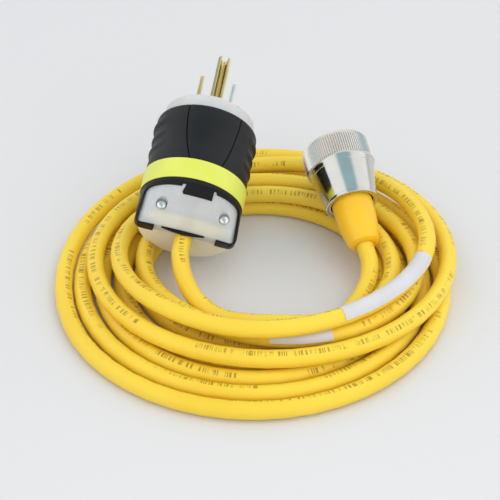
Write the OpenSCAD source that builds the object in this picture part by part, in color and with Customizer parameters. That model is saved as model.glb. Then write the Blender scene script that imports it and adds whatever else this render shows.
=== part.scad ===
// Coiled power cord: a grounded straight-blade plug with an indicator lamp at one end,
// a three-pole screw-coupling socket connector at the other. Units are millimetres,
// +Z is up, the coil lies on z = 0 and is centred on the origin.

/* [Cord] */
// Outer diameter of the cord's jacket
cord_d = 6.5; // [6:0.1:7]
// Free space between neighbouring turns of the coil
turn_gap = 0.6; // [0.6:0.1:1]
// Radius of the widest turn, side to side
coil_rx = 71.1; // [69:0.1:75]
// Radius of the widest turn, front to back
coil_ry = 70.4; // [68:0.1:75]
// Turns in the upper layer
upper_turns = 4; // [4:1:4]
// Turns in the lower layer
lower_turns = 4; // [3:1:4]
// Pitch of the upper layer, in pitches of touching turns
upper_rate = 1.16; // [1.15:0.01:1.2]
// Pitch of the lower layer, in pitches of touching turns
lower_rate = 1.06; // [1.04:0.01:1.1]
// How much wider than deep the upper layer lies
upper_oval = 2.8; // [2:0.1:3.2]
// How far the upper layer lies to the right of the lower one
upper_right = 4.7; // [4:0.1:5]
// How far the upper layer lies behind the lower one
upper_back = 4.7; // [4:0.1:5]
// Rise of the turn that crosses over its neighbour, in layers
cross_rise = 1; // [1:0.01:1.1]
// How far the two inner turns swing out below that crossing, in pitches
swing = 0.88; // [0.85:0.01:0.95]
// How far the last inner turn draws in before its end, in pitches
lead = 0.35; // [0.3:0.01:0.45]
// How far the crossing turn leans in where it is raised, in pitches
lean = 0.42; // [0.3:0.01:0.45]
// Thickness of the wrapped blank label
label_t = 0.25; // [0.2:0.05:0.3]

/* [Plug] */
// Radius of the black grip sleeve
sleeve_r = 19.2; // [18.5:0.1:20]
// Length of the grip sleeve
sleeve_len = 33; // [31:0.5:36]
// Wall of the grip sleeve
sleeve_wall = 2.4; // [2:0.1:2.6]
// Radius of the white nose that meets the outlet
nose_r = 17.1; // [17:0.1:17.5]
// How far the nose stands out of the sleeve
nose_h = 6; // [5:0.1:7]
// Length of the tapered cord clamp behind the sleeve
clamp_len = 12.5; // [11:0.5:15]
// How far the cord clamp stands in from the grip sleeve
clamp_step = 1.3; // [1:0.1:1.6]
// Height of the clamp's sloping side at its rear edge
clamp_edge = 4.6; // [4.2:0.1:5.4]
// Width of the plain yellow band
band_w = 8; // [6:0.5:8.5]
// Distance from the sleeve's front to the middle of the band
band_at = 27.5; // [27:0.5:28]
// Thickness of the yellow band
band_t = 0.25; // [0.2:0.05:0.4]
// Distance between the two flat blades
blade_pitch = 12.7; // [12.7:0.1:12.7]
// Width of a flat blade
blade_w = 6.35; // [6.2:0.05:6.5]
// Thickness of a flat blade
blade_t = 1.5; // [1.4:0.05:1.6]
// Length of a flat blade past the nose
blade_len = 18; // [15.9:0.1:18.3]
// Width of the folded ground pin
ground_d = 4.75; // [4.7:0.05:4.8]
// Length of the ground pin past the nose
ground_len = 21.5; // [19:0.1:22]
// Distance from the blades' line to the ground pin
ground_off = 11.9; // [11.9:0.1:11.9]
// Distance of the clamp screws from the middle
screw_x = 11.7; // [11.5:0.1:13]

/* [Connector] */
// Radius of the coupling nut over its knurl
nut_r = 13.4; // [13:0.1:14]
// Length of the coupling nut
nut_len = 26.4; // [25:0.1:28]
// Length of the knurled band
knurl_len = 10.4; // [8:0.1:12]
// Number of ridges in the knurl
knurl_count = 72; // [60:1:80]
// Depth of the knurl
knurl_depth = 0.3; // [0.2:0.05:0.4]
// Radius of the nut's threaded bore
thread_r = 10.4; // [10.3:0.1:10.6]
// Radius of the rolled rear rim
rim_r = 10.2; // [10.1:0.05:10.4]
// Radius of the journal that the nut turns on
journal_r = 8.9; // [8.7:0.05:9]
// Running clearance between journal and nut
run_gap = 0.07; // [0.04:0.01:0.09]
// Radius of the socket insert
insert_r = 8.6; // [8.3:0.1:8.7]
// Distance from the nut's front back to the insert's face
insert_set = 2.4; // [1.5:0.1:4]
// Bore of a socket contact
socket_r = 1.25; // [1.15:0.05:1.3]
// Outer radius of a socket contact
contact_r = 1.95; // [1.9:0.05:2.1]
// Depth of a socket contact's bore
socket_depth = 11; // [9:0.5:12]
// Radius of the circle that the three contacts stand on
contact_ring = 4.2; // [4:0.1:4.6]
// Length of the moulded boot behind the nut
boot_len = 18; // [16:0.5:20]
// Radius of the boot at the nut
boot_r = 8.7; // [8.3:0.1:8.8]
// Radius of the boot where the cord leaves it
boot_end_r = 5.2; // [4.6:0.1:5.6]

/* [Hidden] */
$fn = 72;
eps = 0.05;
fit = 0.1;

// ---- the coil's centre line, t in turns, 0 at the front and counter-clockwise ----
cord_r = cord_d / 2;
pitch = cord_d + turn_gap;
rest_z = cord_r - cord_d / 10;
step = 24;
t0 = 3 - upper_turns;
t1 = 3 + lower_turns + 1 / step;
count = round((t1 - t0) * step);
function ramp(a, b, t) = let (u = min(1, max(0, (t - a) / (b - a)))) u * u * (3 - 2 * u);
function upper(t) = 1 - ramp(2.5, 2.86, t);
function crossing(t) = cross_rise * (ramp(0.62, 0.92, t) - ramp(1.32, 1.6, t));
function bump(d, half) = abs(d) < half ? pow(cos(90 * d / half), 2) : 0;
function swung(t) = swing * (bump(t + 0.88, 0.21) + bump(t - 0.12, 0.27)) - lead * ramp(6.72, t1, t)
    - lean * bump(t - 1.12, 0.17);
function turn(t) =
    let (a = -90 + 360 * t,
        w = upper(t),
        c = w * upper_rate * (3 - t) + (1 - w) * lower_rate * (t - 3) - swung(t),
        e = w * (upper_oval + 0.3 * t),
        k = w * ramp(-1.1, -0.98, t) + crossing(t))
    [w * (upper_right - 0.6 * t) + (coil_rx - pitch * c + e) * cos(a),
        w * (upper_back + 0.8 * t) + (coil_ry - pitch * c - e) * sin(a),
        rest_z + pitch * k];
raw = [for (i = [0:count]) turn(t0 + i / step)];
mid = [(min([for (p = raw) p[0]]) + max([for (p = raw) p[0]])) / 2,
    (min([for (p = raw) p[1]]) + max([for (p = raw) p[1]])) / 2, 0];
loop = [for (p = raw) p - mid];
least = min([for (i = [0:count - 9]) min([for (j = [i + 9:count]) norm(loop[i] - loop[j])])]);
echo(least_gap_between_turns = least - cord_d, coil_length = path_len(loop));

// ---- sweeping helpers ----
function unit(v) = v / norm(v);
function path_len(p, i = 0) = i >= len(p) - 1 ? 0 : norm(p[i + 1] - p[i]) + path_len(p, i + 1);
function along(p, i) = let (n = len(p) - 1)
    i == 0 ? unit(p[1] - p[0]) : i == n ? unit(p[n] - p[n - 1])
    : unit(unit(p[i + 1] - p[i]) + unit(p[i] - p[i - 1]));
function side(d) = unit(cross(d, [0, 0, 1]));
function ring(c, d, shape) = let (x = side(d), y = cross(x, d)) [for (q = shape) c + q[0] * x + q[1] * y];
module sweep(p, shape, floor_z = -1000, cap = []) {
    m = len(shape);
    n = len(p) - 1;
    ends = len(cap) > 0 ? cap : [[for (j = [0:m - 1]) j]];
    pts = [for (i = [0:n], q = ring(p[i], along(p, i), shape)) [q[0], q[1], max(q[2], floor_z)]];
    faces = concat([for (f = ends) [for (k = [len(f) - 1:-1:0]) f[k]]],
        [for (i = [0:n - 1], j = [0:m - 1]) [i * m + j, i * m + (j + 1) % m, (i + 1) * m + j]],
        [for (i = [0:n - 1], j = [0:m - 1])
            [i * m + (j + 1) % m, (i + 1) * m + (j + 1) % m, (i + 1) * m + j]],
        [for (f = ends) [for (v = f) n * m + v]]);
    polyhedron(points = pts, faces = faces, convexity = 12);
}
function disc(r, m) = [for (j = [0:m - 1]) r * [cos(360 * j / m), sin(360 * j / m)]];
function spline(a, b, c, d, u) = 0.5 * (2 * b + (c - a) * u + (2 * a - 5 * b + 4 * c - d) * u * u
    + (3 * b - a - 3 * c + d) * u * u * u);
function smooth(p, k) = let (n = len(p) - 1)
    concat([p[0]], [for (i = [1:n - 2], s = [0:k - 1])
        spline(p[i - 1], p[i], p[i + 1], p[i + 2], s / k)], [p[n - 1], p[n]]);
module rod(a, b, r) {
    v = b - a;
    translate(a)
        rotate([0, acos(v[2] / norm(v)), atan2(v[1], v[0])])
            cylinder(h = norm(v), r = r, $fn = 24);
}

// ---- where the two ends lie ----
plug_at = [-19, 40.7, 41] - mid;
plug_az = 11;
plug_tilt = 24.4;
plug_roll = 16;
conn_at = [36.1, 20.2, 21.6] - mid;
conn_az = -14;
conn_tilt = 22;
function heading(az, tilt) = [sin(az) * cos(tilt), cos(az) * cos(tilt), sin(tilt)];
plug_rear = sleeve_len + clamp_len;
plug_exit = plug_at - plug_rear * heading(plug_az, plug_tilt);
conn_exit = conn_at - boot_len * heading(conn_az, conn_tilt);
coil_in = unit(loop[1] - loop[0]);
coil_out = unit(loop[count] - loop[count - 1]);
plug_route = concat([plug_exit, plug_exit - cord_d * heading(plug_az, plug_tilt)],
    [for (p = [[-26.5, -14, 14.5], [-21.5, -22, 10], [-13, -29, 8]]) p - mid],
    [loop[0] - cord_d * coil_in, loop[0]]);
conn_route = concat([loop[count], loop[count] + cord_d * coil_out],
    [for (p = [[22.5, -32.5, 2.8], [28, -28.5, 3.5], [33, -23, 5], [38, -16, 7.3], [41, -9, 9.7]])
        p - mid],
    [conn_exit - cord_d * heading(conn_az, conn_tilt), conn_exit]);
module at_plug() translate(plug_at) rotate([90 - plug_tilt, 0, 180 - plug_az]) rotate([0, 0, plug_roll]) children();
module at_connector() translate(conn_at) rotate([90 - conn_tilt, 0, 180 - conn_az]) children();

// ---- cord ----
module cord_coil() color("gold") sweep(loop, disc(cord_r, 6), 0);
module cord_plug_tail() color("gold") sweep(smooth(plug_route, 3), disc(cord_r, 10), 0);
module cord_connector_tail() color("gold") sweep(smooth(conn_route, 3), disc(cord_r, 10), 0);

// The labels lie on the upper side of two turns and leave their undersides bare.
labels = [[49.8, 53.1], [24, 25.5]];
label_a0 = 12;
label_a1 = 215;
label_n = 8;
function on_loop(s) = let (i = floor(s)) loop[i] + (s - i) * (loop[i + 1] - loop[i]);
function label_line(r) = concat([on_loop(r[0])], [for (i = [floor(r[0]) + 1:ceil(r[1]) - 1]) loop[i]],
    [on_loop(r[1])]);
function arc(r, a, b) = [for (k = [0:label_n]) let (t = a + (b - a) * k / label_n) r * [cos(t), sin(t)]];
module cord_label() color("white") {
    in_r = cord_r + 1.5 * fit;
    last = 2 * label_n + 1;
    cap = [for (j = [0:label_n - 1], f = [[j, j + 1, last - 1 - j], [j, last - 1 - j, last - j]]) f];
    for (r = labels)
        sweep(label_line(r), concat(arc(in_r + label_t, label_a0, label_a1), arc(in_r, label_a1, label_a0)),
            -1000, cap);
}

// ---- plug ----
bore_r = sleeve_r - sleeve_wall;
clamp_r = sleeve_r - clamp_step;
body_r = bore_r - fit;
room_r = body_r - 2.4;
clamp_nose = sleeve_len - 5;
room_z = 8;
blade_y = -2.2;
ground_y = blade_y + ground_off;
rear_z = -plug_rear;
rib_first = 5;
rib_pitch = 5.2;
seam_x = 9.9;
bow_r = 54;
tab_w = 10.4;
tab_l = 6.4;
strip_t = 0.8;

// Upper half of the clamp: a half round that runs out to a straight rear edge.
module wedge(grow, front, back) hull() {
    translate([0, 0, front - 0.5])
        linear_extrude(0.5)
            intersection() {
                circle(r = clamp_r + grow, $fn = 64);
                translate([-40, 0])
                    square([80, 40]);
            }
    translate([-clamp_r + 0.7 - grow, 0, back])
        cube([2 * (clamp_r - 0.7 + grow), clamp_edge + grow, 0.4]);
}
module grip_rib(z, a) translate([0, 0, z]) rotate([0, 0, a - 34])
    rotate_extrude(angle = 68)
        translate([sleeve_r - 0.5, 0])
            circle(r = 1.3, $fn = 24);
module plug_sleeve() color("#1c1c1e") at_plug() {
    difference() {
        union() {
            rotate_extrude()
                polygon([[bore_r, 0], [sleeve_r - 0.9, 0], [sleeve_r - 0.3, -0.4], [sleeve_r, -1.2],
                    [sleeve_r, -3], [sleeve_r - 0.5, -10], [sleeve_r - 0.3, -17],
                    [sleeve_r, -band_at + band_w / 2 + 1], [sleeve_r, -band_at - band_w / 2 - 1],
                    [sleeve_r - 0.4, -sleeve_len + 1], [clamp_r + 0.8, -sleeve_len],
                    [bore_r, -sleeve_len]]);
            for (s = [0, 180], k = [0:2])
                grip_rib(-rib_first - k * rib_pitch, s);
            difference() {
                wedge(0.9, -sleeve_len + 0.5, rear_z - strip_t);
                wedge(fit, -sleeve_len - fit, rear_z - fit);
                window();
                translate([-30, -1, rear_z - 2])
                    cube([60, cord_r + 1.35, 4]);
            }
        }
        translate([0, 0, -sleeve_len - 1])
            cylinder(h = sleeve_len + 2, r = bore_r);
        for (s = [-1, 1])
            seam(s);
    }
}
// Opening of the black frame over the clamp, with the tab at its front.
module window() rotate([90, 0, 0]) translate([0, 0, -40]) linear_extrude(39.95) difference() {
    polygon([[-15.6, -sleeve_len - 3.6], [-9, -sleeve_len - 1.4], [0, -sleeve_len - 0.8],
        [9, -sleeve_len - 1.4], [15.6, -sleeve_len - 3.6], [15.9, rear_z + 2.6],
        [11.5, rear_z + 2.6], [11.5, rear_z + eps], [7.2, rear_z + eps], [7.2, rear_z + 2.6],
        [-8.9, rear_z + 2.6], [-8.9, rear_z + eps], [-11.6, rear_z + eps], [-11.6, rear_z + 2.6],
        [-15.9, rear_z + 2.6]]);
    translate([-tab_w / 2, -sleeve_len - tab_l])
        square([tab_w, tab_l + 2]);
}
// Thin bowed seams that frame the smooth top pad of the sleeve.
module seam(s) intersection() {
    translate([s * (seam_x - bow_r), 0, -3])
        rotate([-90, 0, 0])
            difference() {
                cylinder(h = 30, r = bow_r + 0.25);
                translate([0, 0, -1])
                    cylinder(h = 32, r = bow_r - 0.25);
            }
    difference() {
        translate([0, 0, -band_at + band_w / 2 + 0.8])
            cylinder(h = 40, r = sleeve_r + 2);
        translate([0, 0, -sleeve_len])
            cylinder(h = 60, r = sleeve_r - 0.9);
    }
    translate([s * 10 - 8, 0, -40])
        cube([16, 30, 60]);
}
module plug_band() color("#e8e337") at_plug() translate([0, 0, -band_at - band_w / 2]) difference() {
    cylinder(h = band_w, r = sleeve_r + eps + band_t);
    translate([0, 0, -1])
        cylinder(h = band_w + 2, r = sleeve_r + eps);
}
module plug_body() color("whitesmoke") at_plug() difference() {
    union() {
        rotate_extrude()
            polygon([[0, -clamp_nose + fit], [body_r, -clamp_nose + fit], [body_r, 0], [nose_r - 0.3, fit],
                [nose_r, 0.5], [nose_r, nose_h - 1.2], [nose_r - 0.35, nose_h - 0.35],
                [nose_r - 1.2, nose_h], [0, nose_h]]);
    }
    translate([0, 0, -clamp_nose])
        cylinder(h = clamp_nose - room_z, r = room_r);
    for (s = [-1, 1])
        translate([s * blade_pitch / 2 - blade_t / 2 - fit, blade_y - blade_w / 2 - fit, -room_z - 1])
            cube([blade_t + 2 * fit, blade_w + 2 * fit, room_z + nose_h + 2]);
    translate([0, ground_y, -room_z - 1]) {
        cylinder(h = room_z + nose_h + 2, r = ground_d / 2 + fit, $fn = 36);
        translate([-ground_d / 2 - fit, 0, 0])
            cube([ground_d + 2 * fit, ground_d * pin_open + fit, room_z + nose_h + 2]);
    }
    translate([-room_r + 2, board_y - fit, -clamp_nose])
        cube([2 * room_r - 4, board_t + 2 * fit, board_l + 4]);
    rotate([0, 0, 112])
        translate([nose_r - 1.1, -2.6, nose_h - 1.6])
            cube([3, 5.2, 3]);
}
module jacket_channel() translate([0, 0, rear_z - 1])
    cylinder(h = 40, r = cord_r + eps, $fn = 48);
screw_z = -sleeve_len - clamp_len * 0.44;
pocket_y = clamp_edge + 3.4;
module screw_holes() for (s = [-1, 1]) translate([s * screw_x, 0, screw_z]) rotate([-90, 0, 0]) {
    translate([0, 0, pocket_y])
        cylinder(h = 20, r = 2.7, $fn = 36);
    translate([0, 0, -10])
        cylinder(h = 30, r = 1.5, $fn = 24);
}
module clamp_upper() color("#dfe6e4") at_plug() difference() {
    union() {
        wedge(0, -sleeve_len - fit, rear_z);
        intersection() {
            translate([0, 0, -sleeve_len - 1])
                cylinder(h = sleeve_len - clamp_nose + 1, r = body_r);
            translate([-30, fit, -60])
                cube([60, 30, 60]);
        }
    }
    jacket_channel();
    screw_holes();
    translate([0, clamp_edge + 6.8, rear_z - 2.6])
        sphere(r = 6.4, $fn = 48);
    translate([-30, -1, -60])
        cube([60, 1 + fit, 60]);
}
module clamp_lower() color("whitesmoke") at_plug() difference() {
    intersection() {
        rotate_extrude()
            polygon([[0, rear_z], [clamp_r - 2.4, rear_z], [clamp_r - 0.8, rear_z + 0.7],
                [clamp_r, rear_z + 2.2], [clamp_r, -sleeve_len - fit], [body_r, -sleeve_len - fit],
                [body_r, -clamp_nose], [0, -clamp_nose]]);
        translate([-30, -30, -60])
            cube([60, 30 - fit, 60]);
    }
    jacket_channel();
    screw_holes();
}
module clamp_screws() color("silver") at_plug() for (s = [-1, 1])
    translate([s * screw_x, 0, screw_z])
        rotate([-90, 0, 0])
            rotate_extrude($fn = 36)
                polygon([[0, -9.8], [1.4, -9.4], [1.4, pocket_y + eps], [2.4, pocket_y + eps],
                    [2.4, pocket_y + 0.7], [2, pocket_y + 1.4], [1.2, pocket_y + 1.9], [0, pocket_y + 2.1]]);

tail_z = -16;
module blade(s) translate([s * blade_pitch / 2 + blade_t / 2, blade_y, 0]) rotate([0, -90, 0])
    linear_extrude(blade_t)
        polygon([[tail_z, -blade_w / 2], [nose_h + blade_len - 1.6, -blade_w / 2],
            [nose_h + blade_len, -blade_w / 2 + 1.2], [nose_h + blade_len, blade_w / 2 - 1.2],
            [nose_h + blade_len - 1.6, blade_w / 2], [tail_z, blade_w / 2]]);
module tap_hole(s) translate([s * blade_pitch / 2, blade_y, tail_z + 3.6]) rotate([0, 90, 0])
    cylinder(h = 30, r = 1.5, center = true, $fn = 24);
module blade_hot() color("#c9a24b") at_plug() difference() {
    blade(1);
    tap_hole(1);
}
module blade_neutral() color("silver") at_plug() difference() {
    blade(-1);
    tap_hole(-1);
}
// Ground pin folded from sheet, open on its upper side, with a notched tip.
pin_wall = 1.15;
pin_open = 0.34;
module ground_pin() color("#c9a24b") at_plug() translate([0, ground_y, 0]) difference() {
    translate([0, 0, tail_z])
        linear_extrude(nose_h + ground_len - tail_z)
            difference() {
                union() {
                    circle(d = ground_d);
                    translate([-ground_d / 2, 0])
                        square([ground_d, ground_d * pin_open]);
                }
                circle(d = ground_d - 2 * pin_wall);
                translate([-ground_d / 2 + pin_wall, 0])
                    square([ground_d - 2 * pin_wall, ground_d]);
            }
    translate([0, 0, nose_h + ground_len])
        rotate([0, 90, 0])
            translate([0, -ground_d * 0.62, -5])
                cylinder(h = 10, r = 2.2, $fn = 4);
    translate([0, 0, tail_z + 3.6])
        rotate([90, 0, 0])
            cylinder(h = 20, r = 1.5, center = true, $fn = 24);
    for (s = [-1, 1])
        translate([s * ground_d / 2, 0, nose_h + ground_len])
            rotate([90, 0, 0])
                cylinder(h = 10, r = 0.9, center = true, $fn = 4);
}
block_z0 = -17;
block_z1 = -9;
block_in = blade_pitch / 2 - blade_t / 2 - eps;
pin_low = ground_y - ground_d / 2 - eps;
module terminal_blocks() color("#b8935a") at_plug() difference() {
    union() {
        for (s = [-1, 1])
            translate([s * block_in - (s + 1) / 2 * 5, blade_y - 4, block_z0])
                cube([5, 8, block_z1 - block_z0]);
        translate([-3.4, pin_low - 4, block_z0])
            cube([6.8, 4, block_z1 - block_z0]);
    }
    for (s = [-1, 1])
        translate([s * (block_in - 2.5), blade_y, block_z0 - 1])
            cylinder(h = 6, r = 1.3, $fn = 24);
    translate([0, pin_low - 2, block_z0 - 1])
        cylinder(h = 6, r = 1.3, $fn = 24);
}
head_t = 1.4;
module terminal_screw(l) {
    cylinder(h = l, r = 1.4, $fn = 24);
    translate([0, 0, -head_t])
        difference() {
            cylinder(h = head_t, r = 2.6, $fn = 30);
            translate([-3, -0.35, -0.1])
                cube([6, 0.7, 0.7]);
        }
}
module terminal_screws() color("silver") at_plug() {
    for (s = [-1, 1])
        translate([s * (blade_pitch / 2 + blade_t / 2 + eps), blade_y, tail_z + 3.6])
            rotate([0, -s * 90, 0])
                terminal_screw(blade_t + eps);
    translate([0, ground_y + 1.2, tail_z + 3.6])
        rotate([90, 0, 0])
            cylinder(h = ground_y + 1.2 - pin_low - eps, r = ground_d / 2 - pin_wall - fit, $fn = 24);
}
wire_r = 1.15;
wire_z = -26;
function wire_from(k) = [1.75 * cos(90 + 120 * k), 1.75 * sin(90 + 120 * k), wire_z];
module plug_wire_ground() color("seagreen") at_plug() rod(wire_from(0), [0, pin_low - 2, block_z0 - 0.5], wire_r);
module plug_wire_neutral() color("white") at_plug()
    rod(wire_from(1), [-block_in + 2.5, blade_y, block_z0 - 0.5], wire_r);
module plug_wire_hot() color("#202020") at_plug()
    rod(wire_from(2), [block_in - 2.5, blade_y, block_z0 - 0.5], wire_r);
module plug_jacket_end() color("gold") at_plug() translate([0, 0, rear_z])
    cylinder(h = wire_z - 0.5 - rear_z, r = cord_r, $fn = 48);
board_y = -9.4;
board_t = 1.2;
board_l = 12;
board_z = -clamp_nose + 3;
lamp_r = 1.5;
lamp_l = 4.5;
module indicator_board() color("darkgreen") at_plug() translate([-room_r + 2 + 2 * fit, board_y, board_z])
    cube([2 * (room_r - 2 - 2 * fit), board_t, board_l]);
module indicator_lamp() color("#ffb070") at_plug()
    translate([0, board_y + board_t + lamp_r + fit + eps, board_z + 0.4]) {
        cylinder(h = lamp_l, r = lamp_r, $fn = 24);
        sphere(r = lamp_r, $fn = 24);
    }

// ---- connector ----
rim_len = 1.5;
lip_z = 2.2;
lip_t = 2.4;
flange_z = lip_z + lip_t + 0.3;
flange_r = journal_r + 0.6;
flange_t = 1.7;
neck_r = flange_r + 0.35;
thread_z = 10;
knurl_z = nut_len - knurl_len;
face_z = nut_len - insert_set;
function tooth(i) = let (a = 180 * i / knurl_count, r = nut_r - (i % 2) * knurl_depth) [r * cos(a), r * sin(a)];
module coupling_nut() color("#c8ccd0") at_connector() difference() {
    union() {
        rotate_extrude()
            polygon([[journal_r, 0.3], [rim_r - 0.4, 0], [rim_r, 0.35], [rim_r, rim_len - 0.35],
                [rim_r - 0.35, rim_len], [rim_r - 0.05, rim_len + 1], [nut_r - 1.3, knurl_z - 2.6],
                [nut_r - 1.3, knurl_z - 2.2], [nut_r - 0.8, knurl_z - 1.7],
                [nut_r - 0.8, knurl_z + 0.5], [journal_r, knurl_z + 0.5]]);
        intersection() {
            translate([0, 0, knurl_z])
                linear_extrude(knurl_len)
                    polygon([for (i = [0:2 * knurl_count - 1]) tooth(i)]);
            rotate_extrude()
                polygon([[0, knurl_z], [nut_r - 0.6, knurl_z], [nut_r + 0.1, knurl_z + 0.7],
                    [nut_r + 0.1, nut_len - 1], [nut_r - 0.9, nut_len], [0, nut_len]]);
        }
    }
    translate([0, 0, -1])
        cylinder(h = nut_len + 2, r = journal_r + run_gap);
    translate([0, 0, -1])
        cylinder(h = lip_z + 1, r = journal_r + 0.7);
    translate([0, 0, lip_z + lip_t])
        cylinder(h = nut_len, r = neck_r);
    translate([0, 0, thread_z])
        cylinder(h = nut_len, r = thread_r);
    translate([0, 0, nut_len - 1.1])
        cylinder(h = 1.2, r1 = thread_r, r2 = thread_r + 1.2);
}
function contact_at(k) = [contact_ring * cos(90 + 120 * k), contact_ring * sin(90 + 120 * k), 0];
core_z = 0.95;
jacket_z = -9;
groove_z = 0.4;
groove_t = 1.5;
ring_in = journal_r - 0.6;
function wire_root(k) = [1.7 * cos(90 + 120 * k), 1.7 * sin(90 + 120 * k), jacket_z + 0.37];
module connector_boot() color("#ffc21a") at_connector() difference() {
    rotate_extrude()
        polygon([[0, -boot_len], [boot_end_r - 0.5, -boot_len], [boot_end_r, -boot_len + 0.5],
            [boot_end_r + 0.5, -boot_len + 2], [boot_end_r + 1.5, -boot_len + 4],
            [boot_end_r + 2.3, -boot_len + 6.2], [boot_end_r + 2.8, -boot_len + 8.6],
            [boot_r - 0.35, -5], [boot_r, -1.2], [boot_r, groove_z], [ring_in, groove_z],
            [ring_in, core_z - eps], [0, core_z - eps]]);
    translate([0, 0, -boot_len - 1])
        cylinder(h = boot_len + 1 + jacket_z + 0.2, r = cord_r + eps, $fn = 48);
    translate([0, 0, jacket_z + 0.1])
        cylinder(h = 1 - jacket_z, r1 = cord_r + eps, r2 = contact_ring + wire_r + 0.2, $fn = 48);
}
module connector_jacket_end() color("gold") at_connector() translate([0, 0, -boot_len])
    cylinder(h = boot_len + jacket_z, r = cord_r, $fn = 48);
module connector_wires() color("#303030") at_connector() for (k = [0:2])
    rod(wire_root(k), contact_at(k) + [0, 0, core_z - 0.37], wire_r);
module connector_core() color("#26262a") at_connector() difference() {
    rotate_extrude()
        polygon([[0, core_z], [ring_in, core_z], [ring_in, groove_z + groove_t + 2 * eps],
            [journal_r, groove_z + groove_t + 2 * eps], [journal_r, flange_z],
            [flange_r, flange_z], [flange_r, flange_z + flange_t], [insert_r, flange_z + flange_t],
            [insert_r, face_z - 0.6], [insert_r - 0.6, face_z], [0, face_z]]);
    for (k = [0:2])
        translate(contact_at(k))
            cylinder(h = nut_len, r = contact_r + eps, $fn = 36);
    translate([-1.1, insert_r - 1.3, flange_z + flange_t + 2])
        cube([2.2, 3, nut_len]);
}
module connector_gasket() color("#303030") at_connector() translate([0, 0, flange_z + flange_t + eps]) difference() {
    cylinder(h = 1.4, r = flange_r);
    translate([0, 0, -1])
        cylinder(h = 4, r = insert_r + eps);
}
module nut_retainer() color("silver") at_connector() translate([0, 0, groove_z + eps]) difference() {
    cylinder(h = groove_t, r = journal_r + 0.4);
    translate([0, 0, -1])
        cylinder(h = groove_t + 2, r = ring_in + eps);
    translate([-2, -20, -1])
        cube([4, 20, groove_t + 2]);
}
module socket(k) translate(contact_at(k)) difference() {
    translate([0, 0, core_z + eps])
        cylinder(h = face_z - 0.4 - core_z - eps, r = contact_r, $fn = 36);
    translate([0, 0, face_z - 0.4 - socket_depth])
        cylinder(h = socket_depth + 2, r = socket_r, $fn = 36);
}
module socket_ground() color("#d8b45c") at_connector() socket(0);
module socket_neutral() color("#d8b45c") at_connector() socket(1);
module socket_hot() color("#d8b45c") at_connector() socket(2);

plug_sleeve();
plug_body();
plug_band();
clamp_upper();
clamp_lower();
clamp_screws();
blade_hot();
blade_neutral();
ground_pin();
terminal_blocks();
terminal_screws();
plug_wire_hot();
plug_wire_neutral();
plug_wire_ground();
indicator_board();
indicator_lamp();
plug_jacket_end();
cord_plug_tail();
cord_coil();
cord_connector_tail();
cord_label();
connector_jacket_end();
connector_boot();
connector_wires();
connector_core();
connector_gasket();
nut_retainer();
socket_hot();
socket_neutral();
socket_ground();
coupling_nut();
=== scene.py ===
import math

import bmesh
import bpy
import numpy as np
from mathutils import Matrix, Vector


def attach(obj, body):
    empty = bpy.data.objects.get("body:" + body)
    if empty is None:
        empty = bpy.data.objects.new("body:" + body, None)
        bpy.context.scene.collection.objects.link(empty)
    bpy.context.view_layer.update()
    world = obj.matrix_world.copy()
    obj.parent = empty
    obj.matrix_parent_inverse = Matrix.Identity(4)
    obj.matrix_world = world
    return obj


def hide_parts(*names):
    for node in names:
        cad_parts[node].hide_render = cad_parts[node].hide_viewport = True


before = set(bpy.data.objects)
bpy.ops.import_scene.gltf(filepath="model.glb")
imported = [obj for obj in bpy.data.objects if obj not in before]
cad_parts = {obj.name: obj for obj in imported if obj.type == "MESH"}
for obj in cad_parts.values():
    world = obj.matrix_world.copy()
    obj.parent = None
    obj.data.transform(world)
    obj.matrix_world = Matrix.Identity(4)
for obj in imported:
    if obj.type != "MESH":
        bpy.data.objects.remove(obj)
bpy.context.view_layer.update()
mm = 0.001
print("frame loaded:", len(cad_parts), "nodes")


# camera: distance in mm, tilt down in degrees, lens, shift and the far limit in m
view = dict(distance=500, tilt=40, lens=95.4, shiftX=-0.014, shiftY=0.066, far=50)


def smoothStep(low, high, value):
    u = np.clip((np.asarray(value, float) - low) / (high - low), 0, 1)
    return u * u * (3 - 2 * u)


# the cord's route, in mm, t in turns from the front and counter-clockwise
coil = dict(radiusX=71.1, radiusY=70.4, first=-1, last=7 + 1 / 24, pitch=7.1, layer=6.75, inmost=3,
            upperRate=1.16, lowerRate=1.06, drop=(2.5, 2.86), oval=2.8, ovalGrowth=0.3,
            right=4.7, rightDrift=-0.6, back=4.7, backDrift=0.8,
            swing=0.88, swings=((-0.88, 0.21), (0.12, 0.27)), lead=0.35, leadFrom=6.72,
            lean=0.42, leanAt=1.12, leanHalf=0.17,
            firstRise=(-1.1, -0.98), crossRise=(0.62, 0.92), crossFall=(1.32, 1.6),
            frameRings=194, ringsPerTurn=24, stepsPerTurn=48)
cord = dict(radius=3.25, sides=20, routeSteps=8, straight=6.5,
            fromPlug=((-26.5, -14, 14.7), (-21.5, -22, 10.3), (-13, -29, 8.4)),
            toConnector=((22.5, -32.5, 3.35), (28, -28.5, 3.9), (33, -23, 5.3), (38, -16, 7.5),
                         (41, -9, 9.8)),
            printAt=95, printWander=((38, 97), (16, 31)))
plug = dict(at=(-19, 40.7, 41), azimuth=11, tilt=24.4, roll=16, rear=45.5)
connector = dict(at=(36.1, 20.2, 21.6), azimuth=-14, tilt=22, rear=18)


def hump(distance, half):
    return np.where(np.abs(distance) < half, np.cos(np.pi / 2 * distance / half) ** 2, 0)


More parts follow.
